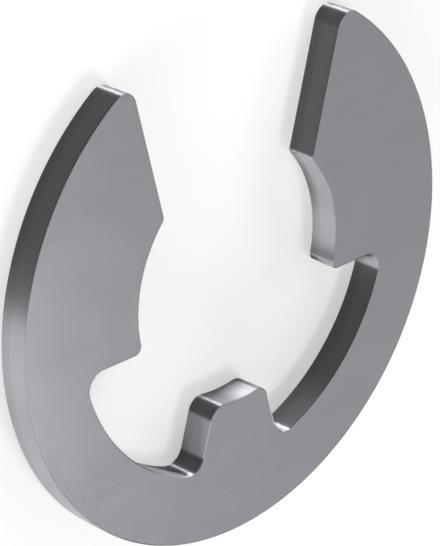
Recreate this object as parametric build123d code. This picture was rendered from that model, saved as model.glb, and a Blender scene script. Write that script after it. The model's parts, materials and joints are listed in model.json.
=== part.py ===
from build123d import *
import math
import os

# E clip: a retaining ring stamped from flat spring steel, pushed sideways into a groove on a shaft.
# The origin is on the shaft axis, at the underside. +Z runs along the shaft, +Y out through the mouth.

# Driving dimensions, in millimetres and degrees
outer_diameter = 12.3
thickness = 0.7

seat_diameter = 5.92        # the circle on which both arms and the prong grip the groove
pocket_diameter = 9.12      # the relief behind the prong that lets the arms spring apart
ledge_drop = 0.86           # from the shaft axis down to the arms' lower ends

mouth_width = 4.38          # between the two horns, before their corners are rounded
mouth_flare = 15            # each side of the mouth, from the centre line

prong_tip_width = 1.56      # across the tip, before its corners are rounded
prong_flare = 16            # each flank of the prong, from the centre line

arm_tip_radius = 0.38
horn_radius = 0.16
ledge_radius = 0.18
pocket_radius = 0.39
prong_tip_radius = 0.36
prong_root_radius = 0.39
edge_break = 0.03           # what tumbling takes off the stamped edges, on both faces

# Worked out from the sizes above
outer_r = outer_diameter / 2
seat_r = seat_diameter / 2
pocket_r = pocket_diameter / 2


def height_on(circle_r, width):
    """Height above or below the shaft axis at which a circle is as wide as this."""
    return math.sqrt(circle_r**2 - (width / 2) ** 2)


def disc(circle_r):
    """A disc about the shaft axis, turned so that its edge starts on the mouth's centre line."""
    return Rot(0, 0, 90) * Circle(circle_r)


def wedge(start_y, start_width, end_y, flare):
    """A trapezium on the centre line that widens by the flare on each side."""
    spread = abs(end_y - start_y) * math.tan(math.radians(flare))
    start_half = start_width / 2
    end_half = start_half + spread
    outline = Polyline(
        (-start_half, start_y),
        (start_half, start_y),
        (end_half, end_y),
        (-end_half, end_y),
        close=True,
    )
    return make_face(outline)


def corners(face, circle_r, low, high):
    """The outline's corners on one circle about the shaft axis, between two heights."""
    return [
        corner
        for corner in face.vertices()
        if abs(math.hypot(corner.X, corner.Y) - circle_r) < 1e-5 and low < corner.Y < high
    ]


def clip_outline():
    """Disc, less the shaft seat, the mouth and the two pockets either side of the prong."""
    horn_y = height_on(seat_r, mouth_width)
    prong_y = -height_on(seat_r, prong_tip_width)

    mouth = wedge(horn_y, mouth_width, outer_r, mouth_flare)
    prong = wedge(prong_y, prong_tip_width, -outer_r, prong_flare)
    below_ledge = Pos(0, -ledge_drop) * Rectangle(outer_diameter, outer_r, align=(Align.CENTER, Align.MAX))
    pockets = (disc(pocket_r) & below_ledge) - prong

    face = disc(outer_r) - disc(seat_r) - mouth - pockets

    # From the mouth inwards, each pair of corners gets its own radius
    rounds = [
        (outer_r, 0, outer_r, arm_tip_radius),
        (seat_r, 0, seat_r, horn_radius),
        (seat_r, prong_y / 2, -ledge_drop / 2, ledge_radius),
        (pocket_r, -pocket_r / 2, -ledge_drop / 2, pocket_radius),
        (seat_r, -seat_r, prong_y / 2, prong_tip_radius),
        (pocket_r, -pocket_r, -pocket_r / 2, prong_root_radius),
    ]
    for circle_r, low, high, radius in rounds:
        face = fillet(corners(face, circle_r, low, high), radius)
    return face


def e_clip():
    """The outline at full thickness, with the edges of both faces broken."""
    plate = extrude(clip_outline(), thickness)
    rims = plate.edges().group_by(Axis.Z)
    return fillet(rims[0] + rims[-1], edge_break)


clip = e_clip()
clip.label = "e_clip"

os.makedirs("parts", exist_ok=True)
export_step(clip, "parts/e_clip.step")
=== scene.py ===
import bpy
import json
import math
from mathutils import Matrix, Vector


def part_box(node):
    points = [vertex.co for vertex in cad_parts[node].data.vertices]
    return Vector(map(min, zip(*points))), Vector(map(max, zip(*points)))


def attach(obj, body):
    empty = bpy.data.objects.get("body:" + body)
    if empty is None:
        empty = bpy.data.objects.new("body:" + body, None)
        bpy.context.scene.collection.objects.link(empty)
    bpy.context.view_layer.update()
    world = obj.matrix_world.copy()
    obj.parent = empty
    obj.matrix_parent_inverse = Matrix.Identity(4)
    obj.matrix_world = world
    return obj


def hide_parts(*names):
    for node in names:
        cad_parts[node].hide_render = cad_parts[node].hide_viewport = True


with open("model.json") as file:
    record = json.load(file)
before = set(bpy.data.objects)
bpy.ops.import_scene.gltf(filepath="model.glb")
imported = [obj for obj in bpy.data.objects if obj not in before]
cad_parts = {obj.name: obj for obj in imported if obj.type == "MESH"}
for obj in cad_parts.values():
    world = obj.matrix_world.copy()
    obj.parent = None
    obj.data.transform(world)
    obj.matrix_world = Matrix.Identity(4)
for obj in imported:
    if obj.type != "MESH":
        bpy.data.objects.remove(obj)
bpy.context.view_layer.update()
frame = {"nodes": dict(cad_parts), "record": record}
millimetre = 0.001
print("frame loaded:", sorted(frame["nodes"]))

# An e clip of flat spring steel, lying on a pale table. +Z is the shaft axis, +Y goes out through the mouth.
clipNode = "e_clip"
clipLow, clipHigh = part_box(clipNode)
seatMount = next(mount for mount in frame["record"]["mounts"] if mount["name"] == "shaft_seat")


# helpers: a node's input is given a value, or the socket that feeds it

def addNode(tree, kind, inputs=None, **settings):
    node = tree.nodes.new(kind)
    for name, value in settings.items():
        setattr(node, name, value)
    for socket, value in (inputs or {}).items():
        if isinstance(value, bpy.types.NodeSocket):
            tree.links.new(value, node.inputs[socket])
        else:
            node.inputs[socket].default_value = value
    return node


def mathNode(tree, operation, *values):
    return addNode(tree, "ShaderNodeMath", dict(enumerate(values)), operation=operation).outputs[0]


def vectorNode(tree, operation, *values):
    return addNode(tree, "ShaderNodeVectorMath", dict(enumerate(values)), operation=operation).outputs[0]


def vector(tree, **parts):
    return addNode(tree, "ShaderNodeCombineXYZ", parts).outputs[0]


def scaled(tree, value, factor):
    return addNode(tree, "ShaderNodeVectorMath", {0: value, "Scale": factor}, operation="SCALE").outputs[0]


def ramp(tree, value, start, end, low=0.0, high=1.0, shape="SMOOTHSTEP"):
    # from low to high, while the value goes from start to end
    return addNode(tree, "ShaderNodeMapRange", {
        "Value": value, "From Min": start, "From Max": end, "To Min": low, "To Max": high},
        interpolation_type=shape).outputs[0]


def addObject(name, data):
    added = bpy.data.objects.new(name, data)
    bpy.context.scene.collection.objects.link(added)
    return added


# the clip's plan, in millimetres; its outer and seat circles and its thickness come from the frame

clip = {
    "mouthWidth": 4.38,         # between the horns, before their corners are rounded
    "mouthFlare": 15,           # degrees, each side of the mouth from the centre line
    "ledgeDrop": 0.86,          # from the shaft axis down to the arms' lower ends
    "pocketRadius": 4.56,       # the relief behind the prong
    "prongTipWidth": 1.56,
    "prongFlare": 16,           # degrees, each flank of the prong from the centre line
    "armTipRadius": 0.38,
    "hornRadius": 0.16,
    "ledgeRadius": 0.18,
    "pocketCornerRadius": 0.39,
    "prongTipRadius": 0.36,
    "prongRootRadius": 0.39,
    "arcTolerance": 0.0005,     # how far a straight step may leave a true arc
    "cornerMargin": 0.015,      # from each end of a straight to its first point
}
outerRadius = (clipHigh.x - clipLow.x) / 2 / millimetre
seatRadius = seatMount["dims"]["r_mm"]
thickness = (clipHigh.z - clipLow.z) / millimetre


def roundedCorner(circleRadius, circleSide, line, lineSide, radius):
    # rounds the corner between a circle about the shaft axis and a line; the rounding's centre lies
    # outside the circle for circleSide 1, and on the side that the line's normal points to for lineSide 1
    reach = circleRadius + circleSide * radius
    off = line["distance"] + lineSide * radius
    centre = line["normal"] * off + line["run"] * math.sqrt(reach ** 2 - off ** 2)
    return {
        "centre": centre,
        "onCircle": centre * (circleRadius / reach),
        "onLine": centre - line["normal"] * lineSide * radius,
    }


def straightLine(normal, run, through):
    return {"normal": normal, "run": run, "distance": normal.dot(through)}


def arcPoints(centre, start, end):
    first, last = start - centre, end - centre
    startAngle = math.atan2(first.y, first.x)
    swing = math.remainder(math.atan2(last.y, last.x) - startAngle, 2 * math.pi)
    widestStep = 2 * math.acos(1 - clip["arcTolerance"] / first.length)
    steps = max(2, math.ceil(abs(swing) / widestStep))
    angles = [startAngle + swing * step / steps for step in range(steps + 1)]
    return [centre + first.length * Vector((math.cos(angle), math.sin(angle))) for angle in angles]


def straightPoints(start, end):
    # a point close to each end keeps the smooth shading of the corners off the flat between them
    step = (end - start).normalized() * clip["cornerMargin"]
    return [start + step, end - step]


def clipOutline():
    axis = Vector((0, 0))
    pocketRadius = clip["pocketRadius"]
    flare, prongFlare = math.radians(clip["mouthFlare"]), math.radians(clip["prongFlare"])
    halfMouth, halfTip = clip["mouthWidth"] / 2, clip["prongTipWidth"] / 2
    hornPoint = Vector((halfMouth, math.sqrt(seatRadius ** 2 - halfMouth ** 2)))
    tipPoint = Vector((halfTip, -math.sqrt(seatRadius ** 2 - halfTip ** 2)))
    mouth = straightLine(
        Vector((math.cos(flare), -math.sin(flare))), Vector((math.sin(flare), math.cos(flare))), hornPoint)
    flank = straightLine(
        Vector((math.cos(prongFlare), math.sin(prongFlare))),
        Vector((math.sin(prongFlare), -math.cos(prongFlare))), tipPoint)
    ledge = straightLine(Vector((0, 1)), Vector((1, 0)), Vector((0, -clip["ledgeDrop"])))

    armTip = roundedCorner(outerRadius, -1, mouth, 1, clip["armTipRadius"])
    horn = roundedCorner(seatRadius, 1, mouth, 1, clip["hornRadius"])
    ledgeEnd = roundedCorner(seatRadius, 1, ledge, 1, clip["ledgeRadius"])
    pocketEnd = roundedCorner(pocketRadius, -1, ledge, -1, clip["pocketCornerRadius"])
    prongRoot = roundedCorner(pocketRadius, -1, flank, 1, clip["prongRootRadius"])
    prongTip = roundedCorner(seatRadius, 1, flank, -1, clip["prongTipRadius"])

    # the right half, from the foot of the ring round to the middle of the prong
    half = arcPoints(axis, Vector((0, -outerRadius)), armTip["onCircle"])
    half += arcPoints(armTip["centre"], armTip["onCircle"], armTip["onLine"])
    half += straightPoints(armTip["onLine"], horn["onLine"])
    half += arcPoints(horn["centre"], horn["onLine"], horn["onCircle"])
    half += arcPoints(axis, horn["onCircle"], ledgeEnd["onCircle"])
    half += arcPoints(ledgeEnd["centre"], ledgeEnd["onCircle"], ledgeEnd["onLine"])
    half += straightPoints(ledgeEnd["onLine"], pocketEnd["onLine"])
    half += arcPoints(pocketEnd["centre"], pocketEnd["onLine"], pocketEnd["onCircle"])
    half += arcPoints(axis, pocketEnd["onCircle"], prongRoot["onCircle"])
    half += arcPoints(prongRoot["centre"], prongRoot["onCircle"], prongRoot["onLine"])
    half += straightPoints(prongRoot["onLine"], prongTip["onLine"])
    half += arcPoints(prongTip["centre"], prongTip["onLine"], prongTip["onCircle"])
    half += arcPoints(axis, prongTip["onCircle"], Vector((0, -seatRadius)))

    # the left half mirrors it, and a point that doubles the one before it is left out
    mirrored = [Vector((-point.x, point.y)) for point in reversed(half[1:-1])]
    outline = [half[0]]
    for point in half[1:] + mirrored:
        if (point - outline[-1]).length > clip["arcTolerance"]:
            outline.append(point)
    return outline


def outlineCurve(points):
    data = bpy.data.curves.new("clipOutline", "CURVE")
    data.dimensions = "3D"
    spline = data.splines.new("POLY")
    spline.points.add(len(points) - 1)
    for point, place in zip(spline.points, points):
        point.co = (place.x, place.y, 0, 1)
    spline.use_cyclic_u = True
    return addObject("clipOutline", data)


# the stamping: an edge profile swept round the outline, and two flat faces, in millimetres

stamping = {
    "Thickness": thickness,
    "Roll Radius": 0.03,        # where the sheet was drawn down into the die
    "Burr Radius": 0.02,        # what tumbling left of the burr
    "Tear Height": 0.21,        # the metal tore below this height, and was sheared above it
    "Tear Depth": 0.006,
    "Corner Steps": 7,
}
joining = {
    "shearFoot": 1.3,           # in tear heights: the wall slopes in from here down to the tear
    "weldDistance": 0.0001,     # millimetres
    "flatFace": 0.9999,         # how straight up or down a facet's normal is, if it is part of a face
}


def stampingTree():
    tree = bpy.data.node_groups.new("stampedClip", "GeometryNodeTree")
    tree.interface.new_socket("Outline", in_out="INPUT", socket_type="NodeSocketGeometry")
    for name, value in stamping.items():
        kind = "NodeSocketInt" if isinstance(value, int) else "NodeSocketFloat"
        tree.interface.new_socket(name, in_out="INPUT", socket_type=kind)
    for name in ("Face Material", "Edge Material"):
        tree.interface.new_socket(name, in_out="INPUT", socket_type="NodeSocketMaterial")
    tree.interface.new_socket("Clip", in_out="OUTPUT", socket_type="NodeSocketGeometry")
    given = addNode(tree, "NodeGroupInput").outputs
    made = addNode(tree, "NodeGroupOutput").inputs

    # the profile: x is outwards, and y runs downwards from the under face, so that every y here is negative
    roll, burr, depth = given["Roll Radius"], given["Burr Radius"], given["Tear Depth"]
    rollInset = mathNode(tree, "MULTIPLY", roll, -1)
    tornOffset = mathNode(tree, "MULTIPLY", depth, -1)
    burrInset = mathNode(tree, "SUBTRACT", tornOffset, burr)
    rollCentre = vector(tree, X=rollInset, Y=mathNode(tree, "SUBTRACT", roll, given["Thickness"]))
    burrCentre = vector(tree, X=burrInset, Y=mathNode(tree, "MULTIPLY", burr, -1))
    tearTop = mathNode(tree, "MULTIPLY", given["Tear Height"], -1)
    shearFoot = mathNode(tree, "MULTIPLY", given["Tear Height"], -joining["shearFoot"])
    wall = addNode(tree, "GeometryNodeCurvePrimitiveLine", {
        "Start": vector(tree, X=tornOffset, Y=tearTop), "End": vector(tree, Y=shearFoot)})
    strung = addNode(tree, "GeometryNodeJoinGeometry")

    def stringOn(piece):
        points = addNode(tree, "GeometryNodeCurveToPoints", {"Curve": piece}, mode="EVALUATED")
        tree.links.new(points.outputs["Points"], strung.inputs[0])

    stringOn(wall.outputs["Curve"])
    for radius, startAngle, centre in ((roll, -math.pi / 2, rollCentre), (burr, 0.0, burrCentre)):
        arc = addNode(tree, "GeometryNodeCurveArc", {
            "Resolution": given["Corner Steps"], "Radius": radius,
            "Start Angle": startAngle, "Sweep Angle": math.pi / 2}, mode="RADIUS")
        moved = addNode(tree, "GeometryNodeTransform", {
            "Geometry": arc.outputs["Curve"], "Translation": centre})
        stringOn(moved.outputs[0])
    # the points are joined into one profile in the order of their height
    place = addNode(tree, "GeometryNodeInputPosition")
    height = addNode(tree, "ShaderNodeSeparateXYZ", {0: place.outputs[0]})
    profile = addNode(tree, "GeometryNodePointsToCurves", {
        "Points": strung.outputs[0], "Weight": height.outputs["Y"]})

    upright = addNode(tree, "GeometryNodeSetCurveNormal", {"Curve": given["Outline"]}, mode="Z_UP")
    edge = addNode(tree, "GeometryNodeCurveToMesh", {
        "Curve": upright.outputs[0], "Profile Curve": profile.outputs[0]})
    smooth = addNode(tree, "GeometryNodeSetShadeSmooth", {"Geometry": edge.outputs[0], "Shade Smooth": True})

    # each face fills the outline, drawn in to meet the end of the profile
    whole = addNode(tree, "GeometryNodeJoinGeometry", {0: smooth.outputs[0]})
    outwards = addNode(tree, "GeometryNodeInputNormal").outputs["Normal"]
    for inset, lift, isUnder in (
            (rollInset, vector(tree, Z=given["Thickness"]), False), (burrInset, (0, 0, 0), True)):
        rim = addNode(tree, "GeometryNodeSetPosition", {
            "Geometry": upright.outputs[0], "Offset": scaled(tree, outwards, inset)})
        filled = addNode(tree, "GeometryNodeFillCurve", {"Curve": rim.outputs[0]}, mode="TRIANGLES")
        raised = addNode(tree, "GeometryNodeTransform", {"Geometry": filled.outputs[0], "Translation": lift})
        face = addNode(tree, "GeometryNodeSetShadeSmooth", {
            "Geometry": raised.outputs[0], "Shade Smooth": False})
        if isUnder:
            face = addNode(tree, "GeometryNodeFlipFaces", {"Mesh": face.outputs[0]})
        tree.links.new(face.outputs[0], whole.inputs[0])

    welded = addNode(tree, "GeometryNodeMergeByDistance", {
        "Geometry": whole.outputs[0], "Distance": joining["weldDistance"]})
    metres = addNode(tree, "GeometryNodeTransform", {
        "Geometry": welded.outputs[0], "Scale": (millimetre,) * 3})
    real = addNode(tree, "GeometryNodeRealizeInstances", {"Geometry": metres.outputs[0]})
    facing = addNode(tree, "GeometryNodeInputNormal").outputs["True Normal"]
    steepness = addNode(tree, "ShaderNodeSeparateXYZ", {0: facing}).outputs["Z"]
    isFace = mathNode(tree, "GREATER_THAN", mathNode(tree, "ABSOLUTE", steepness), joining["flatFace"])
    onEdge = addNode(tree, "GeometryNodeSetMaterial", {
        "Geometry": real.outputs[0], "Material": given["Edge Material"]})
    onFaces = addNode(tree, "GeometryNodeSetMaterial", {
        "Geometry": onEdge.outputs[0], "Selection": isFace, "Material": given["Face Material"]})
    tree.links.new(onFaces.outputs[0], made["Clip"])
    return tree


def bakedPiece(name, source, tree, values):
    modifier = source.modifiers.new("shape", "NODES")
    modifier.node_group = tree
    for item in tree.interface.items_tree:
        if item.item_type == "SOCKET" and item.in_out == "INPUT" and item.name in values:
            modifier[item.identifier] = values[item.name]
    graph = bpy.context.evaluated_depsgraph_get()
    mesh = bpy.data.meshes.new_from_object(source.evaluated_get(graph))
    mesh.name = name
    bpy.data.objects.remove(source)
    # only the materials that some face has are kept
    used = sorted({face.material_index for face in mesh.polygons})
    kept = [mesh.materials[index] for index in used]
    slots = [used.index(face.material_index) for face in mesh.polygons]
    mesh.materials.clear()
    for material in kept:
        mesh.materials.append(material)
    mesh.polygons.foreach_set("material_index", slots)
    return addObject(name, mesh)


# the finishes: rolled sheet on the faces, sheared and torn metal round the edge, both tumbled

rolledFace = {
    "Colour": (0.400, 0.395, 0.428, 1),
    "Roughness": 0.15,
    "Line Frequency": (0.6, 10, 1),      # a millimetre, along each axis: the sheet was rolled along X
    "Line Tone": 0.09,
    "Mottle Tone": 0.04,
    "Scratch Tone": 0.02,
    "Roughness Spread": 0.02,
}
stampedEdge = {
    # partly painted shade: the edge's colour is darker than the face's, in part for the cut edge's own finish
    # and in part as painted shade that darkens its walls
    "Colour": (0.162, 0.160, 0.171, 1),
    "Roughness": 0.5,
    "Line Frequency": (16, 16, 0.7),     # the punch sheared the wall, so its lines stand along Z
    "Line Tone": 0.08,
    "Mottle Tone": 0.08,
    "Scratch Tone": 0.02,
    "Roughness Spread": 0.06,
}
edgeSpread = {"amount": 1.0, "along": (0, 0, 1)}    # gloss spreads up and down the edge, not round it
# the torn band's tone, and how far its top wanders and fades, in millimetres
tearLook = {"tone": 0.9, "wander": 0.05, "wanderScale": 1.5, "wanderDetail": 3, "softness": 0.04}
# painted light: the flat flanks of the prong are brighter than the rest of the edge as a painted sheen, and
# the foot of the pockets as a painted glint
paintedSheen = {
    "flankTone": 2.4,
    "flankReach": (3.31, 4.17),     # millimetres from the shaft axis, between the prong's rounded corners
    "footTone": 1.9,
    "footReach": (4.48, 5.2),
    "softness": 0.08,
    "halfWidth": 1.9,               # full strength this far to each side of the centre line
    "fade": 1.2,                    # and none this much further out
}
relief = {"distance": 0.00001, "rolledFace": 0.08, "stampedEdge": 0.12}     # metres, then each finish's share
tumbling = {
    "scratches": ((0.5, 0.010), (-0.9, 0.008), (1.9, 0.007)),   # each set's turn in radians, and its width
    "tilt": (0.2, 0.1),             # so that they also cross the upright edge
    "stretch": (0.35, 3.2, 1.4),    # long one way, fine across it
    "detail": 1,
    "gapScale": 1.7,
    "gapEdges": (0.52, 0.62),       # a scratch shows from the second of these, and is gone by the first
}
grain = {"lineDetail": 3, "lineRoughness": 0.6, "mottleScale": 0.9, "mottleDetail": 3, "scratchDepth": -0.3}


def shaderGroup(name, inputs, outputs):
    group = bpy.data.node_groups.new(name, "ShaderNodeTree")
    for way, sockets in (("INPUT", inputs), ("OUTPUT", outputs)):
        for label, kind in sockets.items():
            group.interface.new_socket(label, in_out=way, socket_type="NodeSocket" + kind)
    return group, addNode(group, "NodeGroupInput").outputs, addNode(group, "NodeGroupOutput").inputs


def makeTumbleMarks():
    # fine curved scratches that cross each other, broken into short runs
    group, given, made = shaderGroup("tumbleMarks", {"Place": "Vector"}, {"Scratches": "Float"})
    total = None
    for turn, width in tumbling["scratches"]:
        turned = addNode(group, "ShaderNodeMapping", {
            "Vector": given["Place"], "Rotation": (*tumbling["tilt"], turn), "Scale": tumbling["stretch"]})
        waves = addNode(group, "ShaderNodeTexNoise", {
            "Vector": turned.outputs[0], "Scale": 1, "Detail": tumbling["detail"]})
        off = mathNode(group, "ABSOLUTE", mathNode(group, "SUBTRACT", waves.outputs["Fac"], 0.5))
        line = ramp(group, off, 0.0, width, low=1.0, high=0.0, shape="LINEAR")
        gaps = addNode(group, "ShaderNodeTexNoise", {
            "Vector": given["Place"], "Scale": tumbling["gapScale"] + turn, "Detail": 0})
        shown = ramp(group, gaps.outputs["Fac"], *tumbling["gapEdges"], shape="LINEAR")
        run = mathNode(group, "MULTIPLY", line, shown)
        total = run if total is None else mathNode(group, "MAXIMUM", total, run)
    group.links.new(total, made["Scratches"])
    return group


def makeSteelSkin(tumbleMarks):
    inputs = {
        "Place": "Vector", "Colour": "Color", "Roughness": "Float", "Line Frequency": "Vector",
        "Line Tone": "Float", "Mottle Tone": "Float", "Scratch Tone": "Float", "Roughness Spread": "Float",
    }
    outputs = {"Colour": "Color", "Roughness": "Float", "Height": "Float"}
    group, given, made = shaderGroup("steelSkin", inputs, outputs)
    stretched = vectorNode(group, "MULTIPLY", given["Place"], given["Line Frequency"])
    lines = addNode(group, "ShaderNodeTexNoise", {
        "Vector": stretched, "Scale": 1, "Detail": grain["lineDetail"], "Roughness": grain["lineRoughness"]})
    mottle = addNode(group, "ShaderNodeTexNoise", {
        "Vector": given["Place"], "Scale": grain["mottleScale"], "Detail": grain["mottleDetail"]})
    marks = addNode(group, "ShaderNodeGroup", {"Place": given["Place"]}, node_tree=tumbleMarks)
    lineSwing = mathNode(group, "SUBTRACT", lines.outputs["Fac"], 0.5)
    mottleSwing = mathNode(group, "SUBTRACT", mottle.outputs["Fac"], 0.5)
    tone = mathNode(group, "MULTIPLY_ADD", lineSwing, given["Line Tone"], 1.0)
    tone = mathNode(group, "MULTIPLY_ADD", mottleSwing, given["Mottle Tone"], tone)
    tone = mathNode(group, "MULTIPLY_ADD", marks.outputs["Scratches"], given["Scratch Tone"], tone)
    group.links.new(scaled(group, given["Colour"], tone), made["Colour"])
    swing = mathNode(group, "ADD", lineSwing, mottleSwing)
    roughness = mathNode(group, "MULTIPLY_ADD", swing, given["Roughness Spread"], given["Roughness"])
    group.links.new(roughness, made["Roughness"])
    height = mathNode(
        group, "MULTIPLY_ADD", marks.outputs["Scratches"], grain["scratchDepth"], lines.outputs["Fac"])
    group.links.new(height, made["Height"])
    return group


def steelMaterial(name, finish, steelSkin):
    material = bpy.data.materials.new(name)
    material.use_nodes = True
    tree = material.node_tree
    shader = tree.nodes["Principled BSDF"]
    shader.inputs["Metallic"].default_value = 1
    where = addNode(tree, "ShaderNodeTexCoord").outputs["Object"]
    place = scaled(tree, where, 1 / millimetre)
    skin = addNode(tree, "ShaderNodeGroup", {"Place": place, **finish}, node_tree=steelSkin)
    bump = addNode(tree, "ShaderNodeBump", {
        "Height": skin.outputs["Height"], "Strength": relief[name], "Distance": relief["distance"]})
    tree.links.new(skin.outputs["Colour"], shader.inputs["Base Color"])
    tree.links.new(skin.outputs["Roughness"], shader.inputs["Roughness"])
    tree.links.new(bump.outputs[0], shader.inputs["Normal"])
    return material, skin.outputs["Colour"], place


def rolledFaceMaterial(steelSkin):
    return steelMaterial("rolledFace", rolledFace, steelSkin)[0]


def tornTone(tree, at, inPlan):
    # the lower part of the wall tore away along a wandering line, and is a little darker
    wander = addNode(tree, "ShaderNodeTexNoise", {
        "Vector": inPlan, "Scale": tearLook["wanderScale"], "Detail": tearLook["wanderDetail"]})
    line = mathNode(tree, "MULTIPLY_ADD", wander.outputs["Fac"], tearLook["wander"], stamping["Tear Height"])
    above = mathNode(tree, "SUBTRACT", at["Z"], line)
    return ramp(tree, above, 0.0, tearLook["softness"], low=tearLook["tone"], high=1.0)


def paintedSheenTone(tree, at, inPlan, part):
    # painted light: brightens the metal within that part's reach of the shaft axis, on the prong's side of it
    start, end = paintedSheen[part + "Reach"]
    half = paintedSheen["softness"] / 2
    away = addNode(tree, "ShaderNodeVectorMath", {0: inPlan}, operation="LENGTH").outputs["Value"]
    past = ramp(tree, away, start - half, start + half)
    short = ramp(tree, away, end + half, end - half)
    aside = mathNode(tree, "ABSOLUTE", at["X"])
    beside = ramp(tree, aside, paintedSheen["halfWidth"] + paintedSheen["fade"], paintedSheen["halfWidth"])
    below = mathNode(tree, "LESS_THAN", at["Y"], 0.0)
    nearProng = mathNode(tree, "MULTIPLY", beside, below)
    share = mathNode(tree, "MULTIPLY", nearProng, mathNode(tree, "MULTIPLY", past, short))
    return mathNode(tree, "MULTIPLY_ADD", share, paintedSheen[part + "Tone"] - 1, 1.0)


def stampedEdgeMaterial(steelSkin):
    material, colour, place = steelMaterial("stampedEdge", stampedEdge, steelSkin)
    tree = material.node_tree
    shader = tree.nodes["Principled BSDF"]
    shader.inputs["Anisotropic"].default_value = edgeSpread["amount"]
    along = vector(tree, **dict(zip("XYZ", edgeSpread["along"])))
    tree.links.new(along, shader.inputs["Tangent"])
    at = addNode(tree, "ShaderNodeSeparateXYZ", {0: place}).outputs
    inPlan = vectorNode(tree, "MULTIPLY", place, (1, 1, 0))
    tone = tornTone(tree, at, inPlan)
    # painted light: the prong's flanks and the pockets' foot are brightened here, on top of the torn band's
    # tone
    for part in ("flank", "foot"):
        tone = mathNode(tree, "MULTIPLY", tone, paintedSheenTone(tree, at, inPlan, part))
    tree.links.new(scaled(tree, colour, tone), shader.inputs["Base Color"])
    return material


steelSkin = makeSteelSkin(makeTumbleMarks())
outline = clipOutline()
print("outline points:", len(outline))
treeValues = dict(stamping)
treeValues["Face Material"] = rolledFaceMaterial(steelSkin)
treeValues["Edge Material"] = stampedEdgeMaterial(steelSkin)
dressedClip = bakedPiece("e_clip_steel", outlineCurve(outline), stampingTree(), treeValues)
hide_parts(clipNode)
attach(dressedClip, "root")
print("clip mesh:", len(dressedClip.data.polygons), "faces")


# the table, the lamps and the camera

table = {
    "halfSpread": 0.6,          # metres
    "colour": (0.93, 0.93, 0.93, 1),
    "roughness": 0.9,
    "whiteShare": 0.45,         # how far the table is lifted towards white, as seen and as mirrored
}


def makeTable():
    half = table["halfSpread"]
    corners = [(x, y, clipLow.z) for x, y in ((-half, -half), (half, -half), (half, half), (-half, half))]
    mesh = bpy.data.meshes.new("table")
    mesh.from_pydata(corners, [], [(0, 1, 2, 3)])
    material = bpy.data.materials.new("paleTable")
    material.use_nodes = True
    tree = material.node_tree
    shader = tree.nodes["Principled BSDF"]
    shader.inputs["Base Color"].default_value = table["colour"]
    shader.inputs["Roughness"].default_value = table["roughness"]
    shader.inputs["Specular IOR Level"].default_value = 0
    # the rest of the colour comes from the lamps, so the table keeps its soft shadow
    rays = addNode(tree, "ShaderNodeLightPath").outputs
    seen = mathNode(tree, "ADD", rays["Is Camera Ray"], rays["Is Glossy Ray"])
    seen = mathNode(tree, "ADD", seen, rays["Is Transmission Ray"])
    glow = addNode(tree, "ShaderNodeEmission", {"Color": (1, 1, 1, 1), "Strength": 1.0})
    share = mathNode(tree, "MULTIPLY", seen, table["whiteShare"])
    mixed = addNode(tree, "ShaderNodeMixShader", {0: share, 1: shader.outputs[0], 2: glow.outputs[0]})
    tree.links.new(mixed.outputs[0], tree.nodes["Material Output"].inputs["Surface"])
    mesh.materials.append(material)
    addObject("table", mesh)


# each lamp faces the clip from its own direction, in degrees; its sizes and its distance are in metres
lampDistance = 0.4
lamps = {
    "keyHigh": {"azimuth": 308, "elevation": 54, "width": 0.12, "height": 0.09, "radiance": 15.8},
    "faceCard": {"azimuth": 326, "elevation": 40, "width": 0.36, "height": 0.3, "radiance": 0.24},
    "faceLow": {"azimuth": 326, "elevation": 22, "width": 0.16, "height": 0.09, "radiance": 3},
    "keyRight": {"azimuth": 9, "elevation": 24, "width": 0.2, "height": 0.08, "radiance": 7.5},
    "highLeft": {"azimuth": 189, "elevation": 24, "width": 0.2, "height": 0.08, "radiance": 3.3},
    "lowLeft": {"azimuth": 207, "elevation": 7, "width": 0.25, "height": 0.04, "radiance": 62},
    "lowFront": {"azimuth": 240, "elevation": 7, "width": 0.21, "height": 0.04, "radiance": 48},
    "lowForward": {"azimuth": 270, "elevation": 7, "width": 0.21, "height": 0.04, "radiance": 38},
    "lowBack": {"azimuth": 60, "elevation": 5, "width": 0.11, "height": 0.045, "radiance": 140},
    "lowRight": {"azimuth": 38, "elevation": 5, "width": 0.2, "height": 0.045, "radiance": 33},
}
skyLevel = 0.33         # an even light from all round


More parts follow.
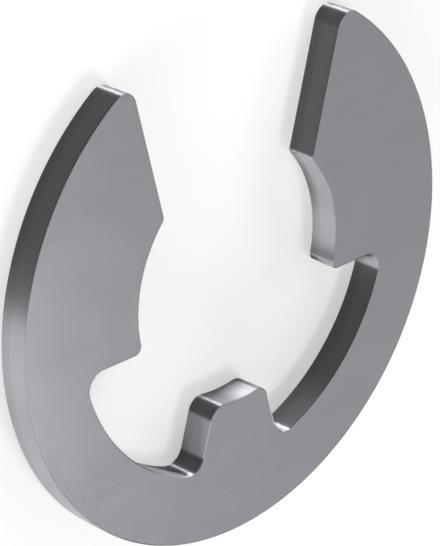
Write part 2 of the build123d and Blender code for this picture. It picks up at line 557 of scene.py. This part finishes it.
def direction(azimuth, elevation):
    # a unit vector; azimuth is from +X towards +Y, in degrees
    turn, lift = math.radians(azimuth), math.radians(elevation)
    return Vector((math.cos(turn) * math.cos(lift), math.sin(turn) * math.cos(lift), math.sin(lift)))


def makeLamps():
    middle = (clipLow + clipHigh) / 2
    for name, lamp in lamps.items():
        data = bpy.data.lights.new(name, "AREA")
        data.shape = "RECTANGLE"
        data.size = lamp["width"]
        data.size_y = lamp["height"]
        data.energy = lamp["radiance"] * math.pi * lamp["width"] * lamp["height"]    # gives that radiance
        softbox = addObject(name, data)
        towards = direction(lamp["azimuth"], lamp["elevation"])
        softbox.location = middle + towards * lampDistance
        softbox.rotation_euler = (-towards).to_track_quat("-Z", "Y").to_euler()
        softbox.visible_camera = False
    world = bpy.data.worlds.new("sky")
    bpy.context.scene.world = world
    world.use_nodes = True
    background = world.node_tree.nodes["Background"]
    background.inputs["Color"].default_value = (1, 1, 1, 1)
    background.inputs["Strength"].default_value = skyLevel


view = {
    "azimuth": 146.261,          # from the clip towards the camera
    "elevation": 39.871,
    "roll": -113.116,            # the camera leans over, so that the clip stands up in view
    "aim": (-0.591, 0.239),      # millimetres from the shaft axis, on the top face
    "distance": 71.37,           # millimetres from the aim
    "lens": 222.63,
}


def makeCamera():
    toCamera = direction(view["azimuth"], view["elevation"])
    levelUp = (Vector((0, 0, 1)) - toCamera * toCamera.z).normalized()
    levelRight = levelUp.cross(toCamera)
    roll = math.radians(view["roll"])
    up = levelUp * math.cos(roll) + levelRight * math.sin(roll)
    right = up.cross(toCamera)
    aim = Vector((view["aim"][0] * millimetre, view["aim"][1] * millimetre, clipHigh.z))
    data = bpy.data.cameras.new("camera")
    data.lens = view["lens"]
    data.clip_start = millimetre
    camera = addObject("camera", data)
    turn = Matrix((right, up, toCamera)).transposed().to_4x4()
    camera.matrix_world = Matrix.Translation(aim + toCamera * view["distance"] * millimetre) @ turn
    bpy.context.scene.camera = camera


makeTable()
makeLamps()
makeCamera()
bpy.context.scene.view_settings.view_transform = "Standard"
print("table, lamps and camera ready")
